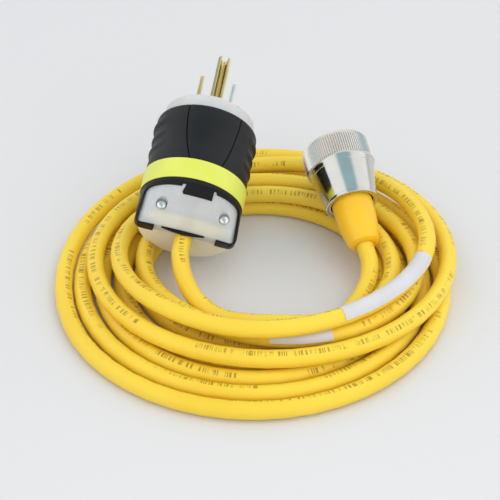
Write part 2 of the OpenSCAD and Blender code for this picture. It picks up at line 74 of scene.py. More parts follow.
def turnAt(t):
    t = np.asarray(t, float)
    angle = np.radians(-90 + 360 * t)
    upper = 1 - smoothStep(*coil["drop"], t)
    swung = (coil["swing"] * sum(hump(t - at, half) for at, half in coil["swings"])
             - coil["lead"] * smoothStep(coil["leadFrom"], coil["last"], t)
             - coil["lean"] * hump(t - coil["leanAt"], coil["leanHalf"]))
    inward = (upper * coil["upperRate"] * (coil["inmost"] - t)
              + (1 - upper) * coil["lowerRate"] * (t - coil["inmost"]) - swung)
    wide = upper * (coil["oval"] + coil["ovalGrowth"] * t)
    level = (upper * smoothStep(*coil["firstRise"], t) + smoothStep(*coil["crossRise"], t)
             - smoothStep(*coil["crossFall"], t))
    x = (upper * (coil["right"] + coil["rightDrift"] * t)
         + (coil["radiusX"] - coil["pitch"] * inward + wide) * np.cos(angle))
    y = (upper * (coil["back"] + coil["backDrift"] * t)
         + (coil["radiusY"] - coil["pitch"] * inward - wide) * np.sin(angle))
    return np.stack([x, y, cord["radius"] + coil["layer"] * level], -1)


frameTurns = turnAt(coil["first"] + np.arange(coil["frameRings"]) / coil["ringsPerTurn"])
middle = (frameTurns.min(0) + frameTurns.max(0)) / 2
middle[2] = 0


def heading(end):
    azimuth, tilt = math.radians(end["azimuth"]), math.radians(end["tilt"])
    return np.array([math.sin(azimuth) * math.cos(tilt), math.cos(azimuth) * math.cos(tilt), math.sin(tilt)])


def placing(end):
    place = Matrix.Translation(Vector((np.array(end["at"]) - middle) * mm))
    place = place @ Matrix.Rotation(math.radians(180 - end["azimuth"]), 4, "Z")
    place = place @ Matrix.Rotation(math.radians(90 - end["tilt"]), 4, "X")
    return place @ Matrix.Rotation(math.radians(end.get("roll", 0)), 4, "Z")


plugPlace = placing(plug)
connectorPlace = placing(connector)
plugExit = np.array(plug["at"]) - middle - plug["rear"] * heading(plug)
connectorExit = np.array(connector["at"]) - middle - connector["rear"] * heading(connector)

cameraData = bpy.data.cameras.new("camera")
cameraData.lens = view["lens"]
cameraData.shift_x = view["shiftX"]
cameraData.shift_y = view["shiftY"]
cameraData.clip_end = view["far"]
camera = bpy.data.objects.new("camera", cameraData)
bpy.context.scene.collection.objects.link(camera)
viewTilt = math.radians(view["tilt"])
camera.location = (Vector((0, -view["distance"] * math.cos(viewTilt), view["distance"] * math.sin(viewTilt)))
                   - Vector(middle)) * mm
camera.rotation_euler = (math.pi / 2 - viewTilt, 0, 0)
bpy.context.scene.camera = camera


# finishes: a socket that can be used in sums, and a material that makes nodes
class Wire:
    def __init__(self, finish, socket):
        self.finish, self.socket = finish, socket

    def maths(self, operation, first, second=0.0):
        return self.finish.node("ShaderNodeMath", dict(operation=operation), {0: first, 1: second})

    def __add__(self, other):
        return self.maths("ADD", self, other)

    __radd__ = __add__

    def __sub__(self, other):
        return self.maths("SUBTRACT", self, other)

    def __rsub__(self, other):
        return self.maths("SUBTRACT", other, self)

    def __mul__(self, other):
        return self.maths("MULTIPLY", self, other)

    __rmul__ = __mul__

    def __truediv__(self, other):
        return self.maths("DIVIDE", self, other)

    def __rtruediv__(self, other):
        return self.maths("DIVIDE", other, self)

    def __gt__(self, other):
        return self.maths("GREATER_THAN", self, other)

    def __lt__(self, other):
        return self.maths("LESS_THAN", self, other)

    def __abs__(self):
        return self.maths("ABSOLUTE", self)


class Finish:
    def __init__(self, name, tree=None, **values):
        if tree is None:
            self.material = bpy.data.materials.new(name)
            self.material.use_nodes = True
            tree = self.material.node_tree
            self.shader = next(n for n in tree.nodes if n.type == "BSDF_PRINCIPLED")
            for socket, value in values.items():
                self.shader.inputs[socket.replace("_", " ")].default_value = value
        self.tree = tree

    def plug(self, socket, value):
        if isinstance(value, Wire):
            self.tree.links.new(value.socket, socket)
        else:
            socket.default_value = value

    def node(self, kind, settings=None, inputs=None, out=0):
        made = self.tree.nodes.new(kind)
        for key, value in (settings or {}).items():
            if key == "stops":
                ramp = made.color_ramp.elements
                while len(ramp) < len(value):
                    ramp.new(0.5)
                for element, (position, colour) in zip(ramp, value):
                    element.position = position
                    element.color = colour
            else:
                setattr(made, key, value)
        for key, value in (inputs or {}).items():
            self.plug(made.inputs[key], value)
        return Wire(self, made.outputs[out])

    def place(self):
        return self.node("ShaderNodeTexCoord", out="Object")

    def noise(self, scale, detail=2, where=None):
        return self.node("ShaderNodeTexNoise", {}, {"Vector": where or self.place(), "Scale": scale,
                                                    "Detail": detail})

    def mix(self, first, second, factor):
        return self.node("ShaderNodeMix", dict(data_type="RGBA"), {0: factor, 6: first, 7: second}, 2)

    def range(self, value, low, high, toLow=0.0, toHigh=1.0):
        return self.node("ShaderNodeMapRange", {}, {0: value, 1: low, 2: high, 3: toLow, 4: toHigh})

    def spread(self, value, toLow=0.0, toHigh=1.0):
        # the middle of a noise, stretched over a whole range
        return self.range(value, 0.3, 0.7, toLow, toHigh)

    def attribute(self, name):
        return self.node("ShaderNodeAttribute", dict(attribute_name=name), out="Fac")

    def colour(self, value):
        self.plug(self.shader.inputs["Base Color"], value)

    def rough(self, value):
        self.plug(self.shader.inputs["Roughness"], value)

    def bump(self, height, strength, distance):
        made = self.node("ShaderNodeBump", {}, {"Strength": strength, "Distance": distance, "Height": height})
        self.plug(self.shader.inputs["Normal"], made)


def rgb(red, green, blue):
    return (red, green, blue, 1.0)


def moulded(name, dark, light, low, high, grain=900, lift=0.00004, cloud=60, **values):
    # a moulded skin: slow colour change, fine grain, uneven gloss
    made = Finish(name, **values)
    slow = made.noise(cloud, 3)
    fine = made.noise(grain, 2)
    made.colour(made.mix(rgb(*dark), rgb(*light), made.spread(slow)))
    made.rough(made.spread(slow * 0.6 + fine * 0.4, low, high))
    made.bump(fine, 0.5, lift)
    return made.material


def plated(name, dark, light, low, high, streak=(1, 1, 1), **values):
    # a metal face: faint cloud in the colour, fine drawn streaks in the gloss
    made = Finish(name, Metallic=1.0, **values)
    stretched = made.node("ShaderNodeVectorMath", dict(operation="MULTIPLY"), {0: made.place(), 1: streak})
    slow = made.noise(120, 2)
    fine = made.noise(700, 3, stretched)
    made.colour(made.mix(rgb(*dark), rgb(*light), made.spread(slow)))
    made.rough(made.spread(fine, low, high))
    made.bump(fine, 0.25, 0.00001)
    return made.material


# plain worn ticks in runs on one line of the jacket; the shares that stay bare, and the line's half width
ticks = dict(runs=30, bareRuns=0.42, marks=1300, bareMarks=0.5, half=0.3, depth=0.66)


def jacketFinish():
    made = Finish("cordJacket", Specular_IOR_Level=0.45, Subsurface_Weight=0.12, Subsurface_Scale=0.004)
    made.shader.inputs["Subsurface Radius"].default_value = (1.0, 0.6, 0.1)
    slow = made.noise(18, 3)
    fine = made.noise(620, 2)
    along = made.attribute("along")
    side = made.attribute("ringSin")
    front = made.attribute("ringCos")
    line = made.node("ShaderNodeCombineXYZ", {}, {0: along})
    runs = made.noise(ticks["runs"], 0, line) > ticks["bareRuns"]
    marks = made.noise(ticks["marks"], 0, line) > ticks["bareMarks"]
    band = (abs(side) < ticks["half"]) * (front > 0)
    worn = made.range(made.noise(240, 2), 0.35, 0.6)
    base = made.mix(rgb(0.88, 0.58, 0.035), rgb(0.95, 0.67, 0.06), made.spread(slow))
    made.colour(made.mix(base, rgb(0.16, 0.085, 0.012), runs * marks * band * worn * ticks["depth"]))
    made.rough(made.spread(slow * 0.5 + fine * 0.5, 0.34, 0.46))
    made.bump(fine, 0.35, 0.00005)
    return made.material


def labelFinish():
    made = Finish("labelVinyl", Specular_IOR_Level=0.4)
    slow = made.noise(90, 2)
    fine = made.noise(1500, 2)
    made.colour(made.mix(rgb(0.66, 0.62, 0.635), rgb(0.72, 0.685, 0.70), made.spread(slow)))
    made.rough(made.spread(fine, 0.38, 0.5))
    made.bump(slow, 0.3, 0.0001)
    return made.material


# the warmer patch behind the cover's dish, a painted warm reflection of the yellow cord: an ellipse on its
# slope, in metres in the plug's own place
paintedReflection = dict(edge=0.0045, rear=-0.0455, slope=(0.748, 0.664), fromRear=0.0028, halfLong=0.0031,
             halfWide=0.0175, outer=1.12, inner=0.35)


def milkyFinish():
    # clouded clear plastic, warmer towards its rear edge with a painted warm reflection of the yellow cord
    made = Finish("milkyPlastic", Subsurface_Weight=0.35, Subsurface_Scale=0.006, Specular_IOR_Level=0.5)
    made.shader.inputs["Subsurface Radius"].default_value = (1.0, 0.95, 0.9)
    spot = made.node("ShaderNodeSeparateXYZ", {}, {0: made.place()})
    x, y, z = [Wire(made, spot.socket.node.outputs[i]) for i in range(3)]
    up, along = paintedReflection["slope"]
    upSlope = ((y - paintedReflection["edge"]) * up + (z - paintedReflection["rear"]) * along - paintedReflection["fromRear"])
    upSlope = upSlope / paintedReflection["halfLong"]
    ellipse = x * x / paintedReflection["halfWide"] ** 2 + upSlope * upSlope
    # rear: the mask of the painted warm reflection of the yellow cord, an ellipse on the cover's slope
    rear = made.range(ellipse, paintedReflection["outer"], paintedReflection["inner"])
    slow = made.noise(110, 3)
    cool = made.mix(rgb(0.535, 0.54, 0.555), rgb(0.61, 0.615, 0.63), made.spread(slow))
    made.colour(made.mix(cool, rgb(0.70, 0.68, 0.595), rear))
    made.rough(made.spread(made.noise(500, 2), 0.26, 0.4))
    made.bump(slow, 0.2, 0.00015)
    return made.material


def nutFinish():
    # bright skirt, and a knurl from 16 mm up that is satin and a little warmer, its warmer and lighter tint a
    # painted warm reflection
    made = Finish("nutNickel", Metallic=1.0)
    height = made.node("ShaderNodeSeparateXYZ", {}, {0: made.place()}, out=2)
    knurl = made.range(height, 0.0158, 0.0166)
    slow, fine = made.noise(120, 2), made.noise(700, 3)
    bright = made.mix(rgb(0.62, 0.615, 0.585), rgb(0.70, 0.695, 0.665), made.spread(slow))
    # the knurl's warm colour is painted reflection on the same nickel as the skirt
    made.colour(made.mix(bright, rgb(0.82, 0.755, 0.70), knurl))
    made.rough(made.spread(fine, 0.08, 0.15) + knurl * 0.14)
    made.bump(fine, 0.25, 0.00001)
    return made.material


def boardFinish():
    made = Finish("boardLacquer", Coat_Weight=0.4)
    tracks = made.node("ShaderNodeTexBrick", {}, {"Vector": made.place(), "Scale": 420.0, "Mortar Size": 0.03,
                                                  "Color1": rgb(0.02, 0.16, 0.06),
                                                  "Color2": rgb(0.03, 0.2, 0.08),
                                                  "Mortar": rgb(0.25, 0.3, 0.12)})
    made.colour(tracks)
    made.rough(made.spread(made.noise(400, 2), 0.3, 0.5))
    return made.material


finishes = dict(
    jacket=jacketFinish(),
    label=labelFinish(),
    milky=milkyFinish(),
    board=boardFinish(),
    black=moulded("blackGrip", (0.008, 0.008, 0.009), (0.015, 0.015, 0.017), 0.42, 0.58, 1300, 0.00003,
                  Specular_IOR_Level=0.3),
    frameBlack=moulded("blackFrame", (0.005, 0.005, 0.006), (0.010, 0.010, 0.011), 0.38, 0.5, 1300, 0.00002,
                       Specular_IOR_Level=0.22),
    white=moulded("nosePlastic", (0.56, 0.55, 0.535), (0.65, 0.64, 0.625), 0.3, 0.42,
                  Subsurface_Weight=0.25, Subsurface_Scale=0.004),
    # lower clamp half: a whitish plastic whose beige tone is painted shade and painted warm reflection of the
    # yellow cord
    base=moulded("clampPlasticPaintedWarmShade", (0.76, 0.71, 0.58), (0.86, 0.82, 0.70), 0.32, 0.46,
                 Subsurface_Weight=0.25, Subsurface_Scale=0.004),
    band=moulded("bandFilm", (0.70, 0.72, 0.09), (0.77, 0.79, 0.13), 0.3, 0.42, 800, 0.00002),
    boot=moulded("bootVinyl", (0.95, 0.50, 0.012), (0.98, 0.57, 0.02), 0.3, 0.42, 700, 0.00004, 40,
                 Subsurface_Weight=0.12, Subsurface_Scale=0.004),
    insert=moulded("insertNylon", (0.016, 0.016, 0.018), (0.03, 0.03, 0.033), 0.35, 0.55),
    rubber=moulded("sealRubber", (0.02, 0.02, 0.02), (0.035, 0.035, 0.035), 0.6, 0.8, 1500),
    wireBlack=moulded("wireBlack", (0.012, 0.012, 0.012), (0.025, 0.025, 0.025), 0.35, 0.5),
    wireWhite=moulded("wireWhite", (0.68, 0.68, 0.66), (0.8, 0.8, 0.78), 0.35, 0.5),
    wireGreen=moulded("wireGreen", (0.015, 0.2, 0.05), (0.025, 0.28, 0.07), 0.35, 0.5),
    glass=moulded("lampGlass", (0.8, 0.32, 0.12), (0.95, 0.45, 0.2), 0.1, 0.2, 500, 0.00001),
    nickel=nutFinish(),
    brass=plated("bladeBrass", (0.66, 0.49, 0.2), (0.83, 0.66, 0.33), 0.16, 0.28, (1, 1, 0.15)),
    bladeNickel=plated("bladeNickel", (0.7, 0.7, 0.68), (0.82, 0.82, 0.8), 0.16, 0.28, (1, 1, 0.15)),
    steel=plated("screwSteel", (0.75, 0.76, 0.78), (0.88, 0.89, 0.9), 0.1, 0.2),
    gold=plated("contactGold", (0.83, 0.6, 0.26), (0.95, 0.73, 0.36), 0.14, 0.25))
print("finishes:", len(finishes))


# making meshes
def makePiece(name, verts, faces, place, finish=None, slot=None, nodes=(), body="cord_set", sharp=32,
              facts=None):
    mesh = bpy.data.meshes.new(name)
    mesh.from_pydata([tuple(float(c) * mm for c in v) for v in verts], [], faces)
    for fact, values in (facts or {}).items():
        mesh.attributes.new(fact, "FLOAT", "POINT").data.foreach_set("value", np.asarray(values, np.float32))
    tidy = bmesh.new()
    tidy.from_mesh(mesh)
    bmesh.ops.remove_doubles(tidy, verts=tidy.verts, dist=1e-7)
    bmesh.ops.dissolve_degenerate(tidy, edges=tidy.edges, dist=1e-8)
    bmesh.ops.recalc_face_normals(tidy, faces=tidy.faces)
    tidy.to_mesh(mesh)
    tidy.free()
    piece = bpy.data.objects.new(name, mesh)
    bpy.context.scene.collection.objects.link(piece)
    piece.matrix_world = place
    if finish:
        dress(piece, finish, nodes, body, sharp)
    return piece


def dress(piece, finish, nodes=(), body="cord_set", sharp=32):
    piece.data.materials.clear()
    piece.data.materials.append(finishes[finish])
    piece.data.shade_smooth()
    piece.data.set_sharp_from_angle(angle=math.radians(sharp))
    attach(piece, body)
    if nodes:
        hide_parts(*nodes)


def grid(rings, wrapRings=True):
    # rings: one closed loop of points each; returns points and four-sided faces
    rings = np.asarray(rings, float)
    count, around = rings.shape[:2]
    faces = []
    for i in range(count if wrapRings else count - 1):
        for j in range(around):
            k, n = (i + 1) % count, (j + 1) % around
            faces.append((i * around + j, i * around + n, k * around + n, k * around + j))
    return rings.reshape(-1, 3), faces


def filleted(corners):
    # corners: (r, z) or (r, z, fillet radius); an outline with its corners rounded
    outline = []
    total = len(corners)
    for i, corner in enumerate(corners):
        here = np.array(corner[:2], float)
        radius = corner[2] if len(corner) > 2 else 0
        if not radius:
            outline.append(here)
            continue
        before = np.array(corners[i - 1][:2], float) - here
        after = np.array(corners[(i + 1) % total][:2], float) - here
        toBefore, toAfter = before / np.linalg.norm(before), after / np.linalg.norm(after)
        half = math.acos(np.clip(toBefore @ toAfter, -1, 1)) / 2
        reach = min(radius / math.tan(half), 0.49 * np.linalg.norm(before), 0.49 * np.linalg.norm(after))
        start, end = here + toBefore * reach, here + toAfter * reach
        for step in range(5):
            u = step / 4
            outline.append((1 - u) ** 2 * start + 2 * u * (1 - u) * here + u * u * end)
    return outline


def lathe(corners, segments):
    angles = np.arange(segments) * 2 * math.pi / segments
    return grid([np.stack([r * np.cos(angles), r * np.sin(angles), np.full(segments, z)], 1)
                 for r, z in filleted(corners)])


def prism(outline, low, high, axis="Z"):
    # an outline drawn in a plane and pushed out along an axis
    count = len(outline)
    order = dict(Z=lambda a, b, c: (a, b, c), Y=lambda a, b, c: (a, c, b), X=lambda a, b, c: (c, a, b))[axis]
    verts = [order(a, b, level) for level in (low, high) for a, b in outline]
    faces = [tuple(range(count)), tuple(range(count, 2 * count))]
    faces += [(j, (j + 1) % count, count + (j + 1) % count, count + j) for j in range(count)]
    return verts, faces


def box(x0, x1, y0, y1, z0, z1):
    return prism([(x0, y0), (x1, y0), (x1, y1), (x0, y1)], z0, z1)


def diamond(at, tip, half):
    return [(at - half, tip), (at, tip - half), (at + half, tip), (at, tip + half)]


def ball(centre, radius, steps):
    outline = [(radius * math.sin(a), radius * math.cos(a)) for a in np.linspace(0, math.pi, steps // 2 + 1)]
    verts, faces = lathe(outline, steps)
    return verts + np.array(centre), faces[:-steps]


def hull(name, points, place):
    made = bmesh.new()
    for point in points:
        made.verts.new([float(c) * mm for c in point])
    result = bmesh.ops.convex_hull(made, input=made.verts)
    bmesh.ops.delete(made, geom=list({g for g in result["geom_interior"] + result["geom_unused"]
                                      if isinstance(g, bmesh.types.BMVert)}), context="VERTS")
    bmesh.ops.dissolve_limit(made, angle_limit=math.radians(0.5), verts=made.verts, edges=made.edges)
    bmesh.ops.recalc_face_normals(made, faces=made.faces)
    mesh = bpy.data.meshes.new(name)
    made.to_mesh(mesh)
    made.free()
    piece = bpy.data.objects.new(name, mesh)
    bpy.context.scene.collection.objects.link(piece)
    piece.matrix_world = place
    return piece


def settle(piece):
    # applies what is on the modifier stack
    evaluated = piece.evaluated_get(bpy.context.evaluated_depsgraph_get())
    mesh = bpy.data.meshes.new_from_object(evaluated)
    old, piece.data = piece.data, mesh
    piece.modifiers.clear()
    bpy.data.meshes.remove(old)


def soften(piece, width, segments=2, angle=32):
    bevel = piece.modifiers.new("edge", "BEVEL")
    bevel.width = width * mm
    bevel.segments = segments
    bevel.limit_method = "ANGLE"
    bevel.angle_limit = math.radians(angle)
    settle(piece)


def carve(piece, cutters, operation="DIFFERENCE"):
    # cutters: (points, faces) in the piece's own place, or whole objects
    for cutter in cutters:
        if isinstance(cutter, tuple):
            cutter = makePiece("cutter", *cutter, piece.matrix_world.copy())
        cut = piece.modifiers.new("cut", "BOOLEAN")
        cut.operation = operation
        cut.solver = "EXACT"
        cut.object = cutter
        settle(piece)
        bpy.data.objects.remove(cutter)


def rodAlong(centre, radius, low, high, axis="Z", sides=48):
    a0, b0 = centre
    outline = [(a0 + radius * math.cos(a), b0 + radius * math.sin(a))
               for a in np.arange(sides) * 2 * math.pi / sides]
    return prism(outline, low, high, axis)


# cord: one tube from the plug's clamp through the coil to the connector's boot
def spline(points, steps):
    # straight first and last stretch, and a smooth curve through the points between
    made = [points[0]]
    for i in range(1, len(points) - 2):
        a, b, c, d = points[i - 1:i + 3]
        for u in np.arange(steps) / steps:
            made.append(0.5 * (2 * b + (c - a) * u + (2 * a - 5 * b + 4 * c - d) * u * u
                               + (3 * b - a - 3 * c + d) * u ** 3))
    return made + [points[-2], points[-1]]


coilSteps = round((coil["last"] - coil["first"]) * coil["stepsPerTurn"])
coilLine = turnAt(np.linspace(coil["first"], coil["last"], coilSteps + 1)) - middle
coilIn = (coilLine[2] - coilLine[0]) / np.linalg.norm(coilLine[2] - coilLine[0])
coilOut = (coilLine[-1] - coilLine[-3]) / np.linalg.norm(coilLine[-1] - coilLine[-3])
straight = cord["straight"]
toCoil = [plugExit, plugExit - straight * heading(plug)]
toCoil += [np.array(p) - middle for p in cord["fromPlug"]]
toCoil += [coilLine[0] - straight * coilIn, coilLine[0]]
toBoot = [coilLine[-1], coilLine[-1] + straight * coilOut]
toBoot += [np.array(p) - middle for p in cord["toConnector"]]
toBoot += [connectorExit - straight * heading(connector), connectorExit]
cordLine = np.array(spline(toCoil, cord["routeSteps"])[:-1] + list(coilLine)
                    + spline(toBoot, cord["routeSteps"])[1:])


def framesAlong(line):
    step = np.diff(line, axis=0)
    step /= np.linalg.norm(step, axis=1)[:, None]
    ahead = np.vstack([step[:1], step[:-1] + step[1:], step[-1:]])
    ahead /= np.linalg.norm(ahead, axis=1)[:, None]
    out = np.cross(ahead, [0, 0, 1])
    out /= np.linalg.norm(out, axis=1)[:, None]
    return ahead, out, np.cross(out, ahead)


def tube(line, radius, sides):
    ahead, out, up = framesAlong(line)
    angles = np.arange(sides) * 2 * math.pi / sides
    return line[:, None] + radius * (np.cos(angles)[None, :, None] * out[:, None]
                                     + np.sin(angles)[None, :, None] * up[:, None]), angles


rings, ringAngles = tube(cordLine, cord["radius"], cord["sides"])
verts, faces = grid(rings, False)
faces += [tuple(range(cord["sides"])), tuple(range(len(verts) - cord["sides"], len(verts)))]
travelled = np.concatenate([[0], np.cumsum(np.linalg.norm(np.diff(cordLine, axis=0), axis=1))])
printAngle = np.radians(sum((swing * np.sin(travelled / length) for swing, length in cord["printWander"]),
                            cord["printAt"]))
offPrint = ringAngles[None] - printAngle[:, None]
cordPiece = makePiece("powerCord", verts, faces, Matrix.Identity(4), "jacket", "cord_yellow",
                      ["cord_plug_tail", "cord_coil", "cord_connector_tail"],
                      facts=dict(along=np.repeat(travelled * mm, cord["sides"]),
                                 ringSin=np.sin(offPrint).ravel(), ringCos=np.cos(offPrint).ravel()))
print("cord:", round(travelled[-1], 1), "mm")


# blank labels: film round the upper side of two turns
labels = dict(spans=((49.8, 53.1), (24.0, 25.5)), lowAngle=12, highAngle=215, lift=0.06, film=0.16,
              columns=20, rows=40)


def labelShell(span):
    rows = labels["rows"]
    line = turnAt(coil["first"] + np.linspace(*span, rows) / coil["ringsPerTurn"]) - middle
    ahead, out, up = framesAlong(line)
    sweep = np.radians(np.linspace(labels["lowAngle"], labels["highAngle"], labels["columns"]))
    inner = cord["radius"] + labels["lift"]
    loop = [(inner + labels["film"], a) for a in sweep] + [(inner, a) for a in sweep[::-1]]
    verts, faces = grid([[line[i] + r * (math.cos(a) * out[i] + math.sin(a) * up[i]) for r, a in loop]
                         for i in range(rows)], False)
    half = labels["columns"]
    for first in (0, (rows - 1) * 2 * half):
        faces += [(first + j, first + j + 1, first + 2 * half - 2 - j, first + 2 * half - 1 - j)
                  for j in range(half - 1)]
    return verts, faces


for index, span in enumerate(labels["spans"]):
    makePiece(f"blankLabel{index + 1}", *labelShell(span), Matrix.Identity(4), "label", "label_white",
              ["cord_label"], sharp=50)
print("labels:", len(labels["spans"]))


# plug: black grip sleeve with soft side ribs and two fine seams
grip = dict(radius=19.2, bore=16.8, boreRings=(-32.5, -22, -11, -0.5),
            frontEdge=((16.85, 0.0), (18.2, 0.0), (18.6, -0.08), (18.95, -0.35), (19.12, -0.75),
                       (19.2, -1.2)),
            rearEdge=((19.1, -31.8), (18.95, -32.5), (18.75, -32.9), (18.4, -33), (16.85, -33)),
            ringsFrom=-1.7, ringsTo=-31.4, ringStep=-0.42,
            waist=0.5, waistIn=(-2.5, -10), waistOut=(-13, -22), waistLost=0.8,
            ribs=3, ribFirst=5.0, ribPitch=5.2, ribRise=0.75, ribHalf=1.7, ribSpan=36, ribFade=0.8,
            seamAt=9.9, seamBow=54, seamMiddle=-3, seamShift=-1.1, seamDeep=0.55, seamHalf=0.3, seamRound=0.6,
            seamEnd=-23.2, seamStop=-26, seamColumns=(-1.2, -0.55, -0.3, -0.14, 0, 0.14, 0.3, 0.55, 1.2),
            topColumns=9, sideColumns=58, seamMargin=0.09)


def seamX(z):
    return grip["seamAt"] - grip["seamBow"] + np.sqrt(grip["seamBow"] ** 2 - (z - grip["seamMiddle"]) ** 2)


def gripOutline():
    outline = list(grip["frontEdge"])
    for z in np.arange(grip["ringsFrom"], grip["ringsTo"], grip["ringStep"]):
        dip = smoothStep(*grip["waistIn"], z) * (1 - grip["waistLost"] * smoothStep(*grip["waistOut"], z))
        outline.append((grip["radius"] - grip["waist"] * dip, z))
    return outline + list(grip["rearEdge"]) + [(grip["bore"], z) for z in grip["boreRings"]]


def gripRings():
    # columns run from the top round one side, close together at the seam, and are mirrored
    seam0 = math.asin(seamX(0.0) / grip["radius"])
    near = np.array(grip["seamColumns"]) / grip["radius"]
    half = np.concatenate([np.linspace(0, seam0 - grip["seamMargin"], grip["topColumns"]), seam0 + near,
                           np.linspace(seam0 + grip["seamMargin"], math.pi, grip["sideColumns"])])
    fromSeam = np.abs(half - seam0) * grip["radius"]
    columns = np.concatenate([half, -half[-2:0:-1]])
    fromSeam = np.concatenate([fromSeam, fromSeam[-2:0:-1]])
    size = np.abs(columns)
    groove = grip["seamDeep"] * np.clip(1 - fromSeam / grip["seamHalf"], 0, 1) ** grip["seamRound"]
    made = []
    for r, z in gripOutline():
        seamZ = math.asin(seamX(min(max(z, grip["seamStop"]), 0)) / grip["radius"])
        warped = np.where(size <= seam0, size * seamZ / seam0,
                          seamZ + (size - seam0) * (math.pi - seamZ) / (math.pi - seam0)) * np.sign(columns)
        warped = warped + grip["seamShift"] / grip["radius"] * np.maximum(np.cos(warped), 0)
        radius = np.full(len(columns), float(r))
        if r > grip["bore"] + 1:
            radius -= groove * smoothStep(grip["seamEnd"] - 0.4, grip["seamEnd"] + 0.6, z)
            fromSide = np.abs(np.abs(np.degrees(warped)) - 90)
            fade = np.cos(np.clip(fromSide / grip["ribSpan"], 0, 1) * math.pi / 2) ** grip["ribFade"]
            for k in range(grip["ribs"]):
                reach = abs(z + grip["ribFirst"] + k * grip["ribPitch"]) / grip["ribHalf"]
                radius += grip["ribRise"] * fade * (math.cos(math.pi / 2 * reach) if reach < 1 else 0)
        made.append(np.stack([radius * np.sin(warped), radius * np.cos(warped), np.full(len(columns), z)], 1))
    return made


makePiece("gripSleeve", *grid(gripRings()), plugPlace, "black", "black_plastic", ["plug_sleeve"], sharp=38)

band = dict(radius=19.25, film=0.22, rear=-31.5, front=-23.5, edge=0.08)
makePiece("plugBand", *lathe([(band["radius"] + band["film"], band["rear"], band["edge"]),
                              (band["radius"] + band["film"], band["front"], band["edge"]),
                              (band["radius"], band["front"]), (band["radius"], band["rear"])], 160),
          plugPlace, "band", "band_yellow", ["plug_band"])
print("grip and band")


# plug: cord clamp, its black frame and screws
clamp = dict(radius=17.9, wide=18.1, front=-33.1, land=0.5, rear=-45.5, edge=4.5, crown=1.1, corner=1.8,
             frame=0.9, frameFront=-32.5, frameSeat=-33.05, frameLow=-0.6, play=0.1, strip=0.8, neck=16.7,
             neckTo=-28, square=0.87, squareWide=1.01, squareTall=0.985,
             screwAt=(10.8, -12.6), screwZ=-39.6, pocket=2.1, pocketY=8.6, screwHole=1.5, channel=3.3,
             clear=30)
dish = dict(halfWide=17.5, halfLong=3.1, deep=0.7, fromRear=2.8, raised=0.85)
window = dict(wide=17.9, front=-34.2, tab=(4.2, -6.4), tabRear=-36.2, slit=1.2, slitFront=-33.5, sideBar=11.6,
              corner=((0.0, -45.55), (0.0, -35.4), (0.5, -34.6), (1.5, -34.2)), low=2.6, clear=40)
lip = dict(span=(-7.2, 8.9), columns=25, reach=1.3, thin=0.3, thick=1.0, round=0.15)
screw = dict(tip=((0, -9.7), (1.2, -9.7, 0.2), (1.4, -9.3)), seat=0.05,
             head=((1.4, 0), (1.75, 0, 0.1), (1.8, 0.5, 0.2), (1.6, 1.0, 0.4), (1.05, 1.45, 0.7), (0, 1.65)))


def crownAt(x):
    return clamp["edge"] - clamp["crown"] * (x / clamp["wide"]) ** 2


def fuller(value):
    # squares a circle up a little
    return math.copysign(abs(value) ** clamp["square"], value)


def wedgePoints(grow, front, rear, low=0.0):
    # a half round at the front that flattens to a low crowned edge at the rear
    radius, wide = clamp["radius"] + grow, clamp["wide"] + grow
    arc = np.linspace(math.asin(low / radius), math.pi - math.asin(low / radius), 65)
    points = [(clamp["squareWide"] * radius * fuller(math.cos(a)),
               clamp["squareTall"] * radius * fuller(math.sin(a)), z)
              for a in arc for z in (front, front - clamp["land"])]
    curve = clamp["corner"] + grow
    for side in (-1, 1):
        for a in np.linspace(0, math.pi / 2, 7):
            x = wide - curve + curve * math.cos(a)
            points += [(side * x, y, rear + curve - curve * math.sin(a)) for y in (low, crownAt(x) + grow)]
    return points + [(x, crownAt(x) + grow, rear) for x in np.linspace(curve - wide, wide - curve, 25)]


rear = clamp["rear"]
cover = hull("clampCover", wedgePoints(0, clamp["front"], rear, 0.1), plugPlace)
soften(cover, 0.35, 3, 25)
slope = np.array([0.0, clamp["radius"] - clamp["edge"], clamp["front"] - clamp["land"] - rear])
slope /= np.linalg.norm(slope)
upright = np.array([0.0, slope[2], -slope[1]])
dishScale = math.sqrt(1 - dish["raised"] ** 2)
dishSize = (dish["halfWide"] / dishScale, dish["halfLong"] / dishScale, dish["deep"] / (1 - dish["raised"]))
dishVerts, dishFaces = ball((0, 0, dish["raised"]), 1, 96)
dishAt = np.array([0, clamp["edge"], rear]) - dish["fromRear"] * slope
dishVerts = dishAt + dishVerts @ (np.array([[1, 0, 0], slope, upright]) * np.array(dishSize)[:, None])
cutters = [(dishVerts, dishFaces), rodAlong((0, 0), clamp["channel"], -47, -30)]
cutters += [rodAlong((x, clamp["screwZ"]), clamp["pocket"], clamp["pocketY"], clamp["clear"], "Y")
            for x in clamp["screwAt"]]
carve(cover, cutters)
soften(cover, 0.18, 2, 40)
dress(cover, "milky", ["clamp_upper"], sharp=30)

# the frame: a thin shell round the cover, open above it, with a front tab and a bar at each rear corner
outer = hull("clampFrame", wedgePoints(clamp["frame"], clamp["frameFront"], rear - clamp["strip"]), plugPlace)
soften(outer, 0.3, 2, 25)
inner = hull("inner", wedgePoints(clamp["play"], clamp["frameSeat"], rear, clamp["frameLow"]), plugPlace)
wide, front, slit, slitFront = window["wide"], window["front"], window["slit"], window["slitFront"]
tabRear, sideBar, clear = window["tabRear"], window["sideBar"], window["clear"]
tabLeft, tabRight = window["tab"]
opening = [(inset - wide, z) for inset, z in window["corner"]]
opening += [(tabRight - slit, front), (tabRight - slit + 0.3, slitFront), (tabRight, slitFront),
            (tabRight, tabRear), (tabLeft + 0.1, tabRear), (tabLeft + 0.5, tabRear + 0.5),
            (tabLeft - 0.3, slitFront), (tabLeft + slit - 0.3, slitFront), (tabLeft + slit, front)]
opening += [(wide - inset, z) for inset, z in reversed(window["corner"])]
